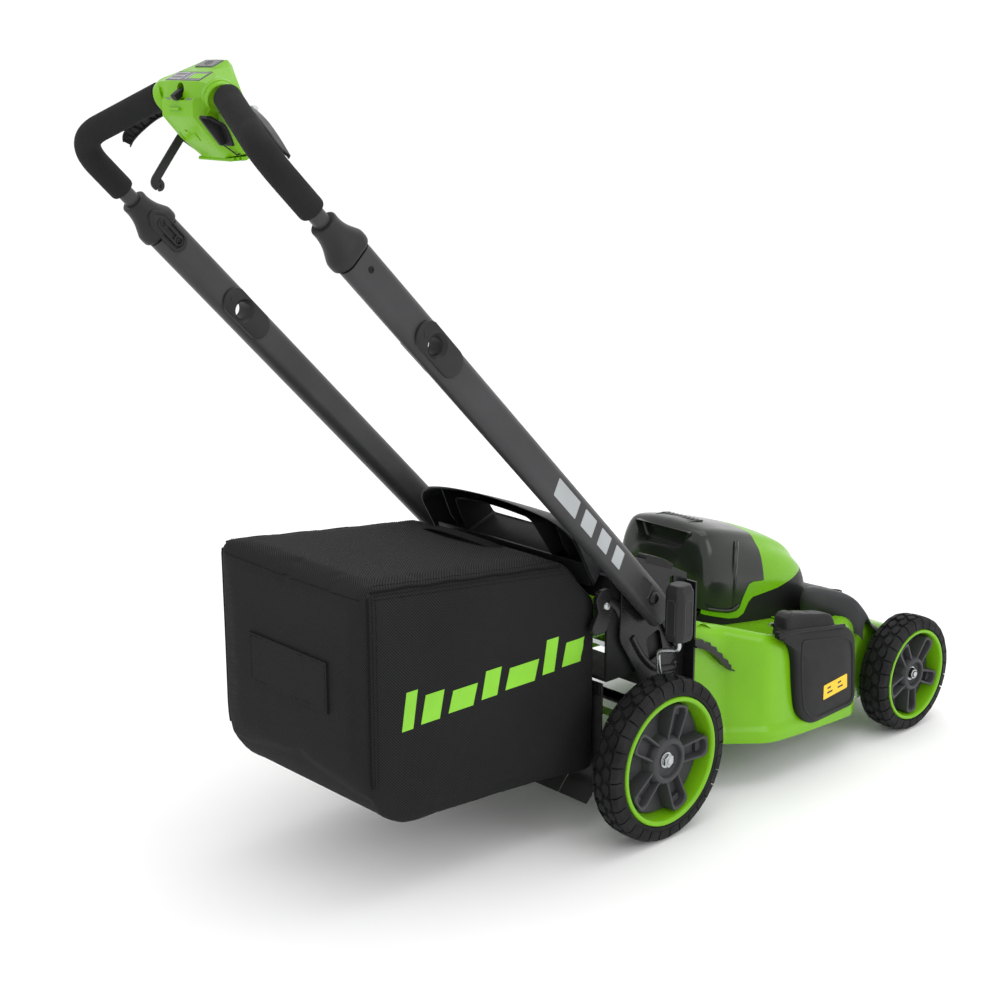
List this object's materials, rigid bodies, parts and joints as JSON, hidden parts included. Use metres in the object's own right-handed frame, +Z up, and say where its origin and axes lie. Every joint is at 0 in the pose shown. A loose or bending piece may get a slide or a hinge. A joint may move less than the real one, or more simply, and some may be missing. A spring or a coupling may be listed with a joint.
{
  "type": "push lawn mower",
  "caption": "Battery walk-behind lawn mower with steel deck, four wheels, folding handle with console and bail, battery hood, side door and rear grass bag.",
  "frame": {"origin": "centre of the bounding box's bottom face, on the ground", "axes": "+Y forwards along the mowing direction, +X to the operator's right, +Z up"},
  "size_m": [0.572, 1.4031, 1.144],
  "materials": {
    "green_paint": "gloss powder coat, lime green",
    "green_plastic": "glossy moulded lime green",
    "black_plastic": "fine moulded texture, black",
    "grey_plastic": "fine moulded texture, mid grey",
    "smoke_plastic": "smoked dark grey, semi-gloss",
    "dark_paint": "dark grey satin paint",
    "black_paint": "black satin paint",
    "zinc": "bright zinc plate",
    "tyre": "moulded rubber tread",
    "foam": "closed-cell foam, fine grain",
    "flap": "flat rubber sheet",
    "bag_fabric": "coated woven fabric, diagonal weave"
  },
  "bodies": {
    "chassis": {"deck": "green_paint", "rear_chute": "black_plastic", "front_cover": "black_plastic", "hood_base": "black_plastic", "hood_cowl": "green_plastic", "motor": "zinc", "controller": "black_plastic", "height_quadrant": "black_paint", "trailing_flap": "flap", "bracket_right": "black_paint", "bracket_left": "black_paint", "pivot_bolt_right": "zinc", "pivot_bolt_left": "zinc"},
    "battery_lid": {"battery_lid": "smoke_plastic"},
    "battery": {"battery_pack": "black_plastic"},
    "blade": {"blade": "zinc", "blade_shaft": "zinc"},
    "side_door": {"side_door": "black_plastic"},
    "rear_door": {"rear_door": "black_plastic"},
    "grass_bag": {"grass_bag": "bag_fabric", "bag_frame": "zinc", "bag_handle": "bag_fabric"},
    "rear_crank": {"rear_crank": "dark_paint", "drive_axle": "zinc", "gearbox": "black_plastic", "height_rod": "zinc", "height_grip": "black_plastic"},
    "front_crank": {"front_crank": "dark_paint"},
    "link_rod": {"link_rod": "zinc"},
    "handle": {"tube_right": "dark_paint", "tube_left": "dark_paint", "collar_right": "black_plastic", "collar_left": "black_plastic", "foam_right": "foam", "foam_left": "foam", "upper_bar": "dark_paint", "console": "green_plastic", "console_nose": "green_plastic", "display_panel": "grey_plastic"},
    "finger_latch_right": {"finger_latch_right": "black_plastic"},
    "finger_latch_left": {"finger_latch_left": "black_plastic"},
    "start_button": {"start_button": "grey_plastic"},
    "speed_slider": {"speed_slider": "black_plastic"},
    "bail": {"bail": "black_plastic"},
    "drive_lever": {"drive_lever": "black_plastic"},
    "thumb_trigger": {"thumb_trigger": "black_plastic"},
    "wheel_rear_right": {"tyre_rear_right": "tyre", "rim_rear_right": "green_plastic", "hub_rear_right": "grey_plastic"},
    "wheel_rear_left": {"tyre_rear_left": "tyre", "rim_rear_left": "green_plastic", "hub_rear_left": "grey_plastic"},
    "wheel_front_right": {"tyre_front_right": "tyre", "rim_front_right": "green_plastic", "hub_front_right": "grey_plastic"},
    "wheel_front_left": {"tyre_front_left": "tyre", "rim_front_left": "green_plastic", "hub_front_left": "grey_plastic"}
  },
  "joints": [
    {"name": "handle_fold", "type": "hinge", "parent": "chassis", "child": "handle", "pos_m": [0, -0.0263, 0.366], "axis": [-1, 0, 0], "range_deg": [0, 110]},
    {"name": "finger_latch_right_pull", "type": "slide", "parent": "handle", "child": "finger_latch_right", "axis": [0, -0.7034, 0.7108], "range_m": [0, 0.018], "stiffness_N_per_m": 300},
    {"name": "finger_latch_left_pull", "type": "slide", "parent": "handle", "child": "finger_latch_left", "axis": [0, -0.7034, 0.7108], "range_m": [0, 0.018], "stiffness_N_per_m": 300},
    {"name": "start_button_press", "type": "slide", "parent": "handle", "child": "start_button", "axis": [0, 0, -1], "range_m": [0, 0.002], "stiffness_N_per_m": 500},
    {"name": "speed_slider_move", "type": "slide", "parent": "handle", "child": "speed_slider", "axis": [1, 0, 0], "range_m": [-0.006, 0.006]},
    {"name": "bail_pull", "type": "hinge", "parent": "handle", "child": "bail", "pos_m": [0, -0.6092, 1.086], "axis": [-1, 0, 0], "range_deg": [0, 8], "stiffness_Nm_per_rad": 0.8},
    {"name": "drive_lever_pull", "type": "hinge", "parent": "handle", "child": "drive_lever", "pos_m": [-0.058, -0.6212, 1.064], "axis": [-1, 0, 0], "range_deg": [0, 30], "stiffness_Nm_per_rad": 0.15},
    {"name": "thumb_trigger_pull", "type": "hinge", "parent": "handle", "child": "thumb_trigger", "pos_m": [0.05, -0.6512, 1.067], "axis": [-1, 0, 0], "range_deg": [0, 12], "stiffness_Nm_per_rad": 0.1},
    {"name": "battery_lid_open", "type": "hinge", "parent": "chassis", "child": "battery_lid", "pos_m": [0, 0.427, 0.361], "axis": [-1, 0, 0], "range_deg": [0, 75]},
    {"name": "battery_eject", "type": "slide", "parent": "chassis", "child": "battery", "axis": [0, 0, 1], "range_m": [0, 0.015]},
    {"name": "blade_spin", "type": "hinge", "parent": "chassis", "child": "blade", "pos_m": [0, 0.3518, 0.094], "axis": [0, 0, 1], "continuous": true},
    {"name": "side_door_open", "type": "hinge", "parent": "chassis", "child": "side_door", "pos_m": [0.237, 0.2548, 0.257], "axis": [0, -0.9815, 0.1912], "range_deg": [0, 70]},
    {"name": "rear_door_open", "type": "hinge", "parent": "chassis", "child": "rear_door", "pos_m": [0, -0.0742, 0.408], "axis": [-1, 0, 0], "range_deg": [0, 40]},
    {"name": "bag_withdraw", "type": "slide", "parent": "chassis", "child": "grass_bag", "axis": [0, -1, 0], "range_m": [0, 0.35]},
    {"name": "rear_crank_tilt", "type": "hinge", "parent": "chassis", "child": "rear_crank", "pos_m": [0, 0.0288, 0.16], "axis": [-1, 0, 0], "range_deg": [0, 50]},
    {"name": "front_crank_tilt", "type": "hinge", "parent": "chassis", "child": "front_crank", "pos_m": [0, 0.6718, 0.135], "axis": [-1, 0, 0], "range_deg": [0, 50]},
    {"name": "link_swing", "type": "hinge", "parent": "rear_crank", "child": "link_rod", "pos_m": [-0.2, 0.0182, 0.1827], "axis": [-1, 0, 0], "range_deg": [-50, 0]},
    {"name": "wheel_rear_right_spin", "type": "hinge", "parent": "rear_crank", "child": "wheel_rear_right", "pos_m": [0.262, -0.0432, 0.127], "axis": [1, 0, 0], "continuous": true},
    {"name": "wheel_rear_left_spin", "type": "hinge", "parent": "rear_crank", "child": "wheel_rear_left", "pos_m": [-0.262, -0.0432, 0.127], "axis": [1, 0, 0], "continuous": true},
    {"name": "wheel_front_right_spin", "type": "hinge", "parent": "front_crank", "child": "wheel_front_right", "pos_m": [0.262, 0.5998, 0.102], "axis": [1, 0, 0], "continuous": true},
    {"name": "wheel_front_left_spin", "type": "hinge", "parent": "front_crank", "child": "wheel_front_left", "pos_m": [-0.262, 0.5998, 0.102], "axis": [1, 0, 0], "continuous": true}
  ],
  "couplings": [
    {"joint": "front_crank_tilt", "follows": "rear_crank_tilt", "ratio": 1},
    {"joint": "link_swing", "follows": "rear_crank_tilt", "ratio": -1}
  ]
}
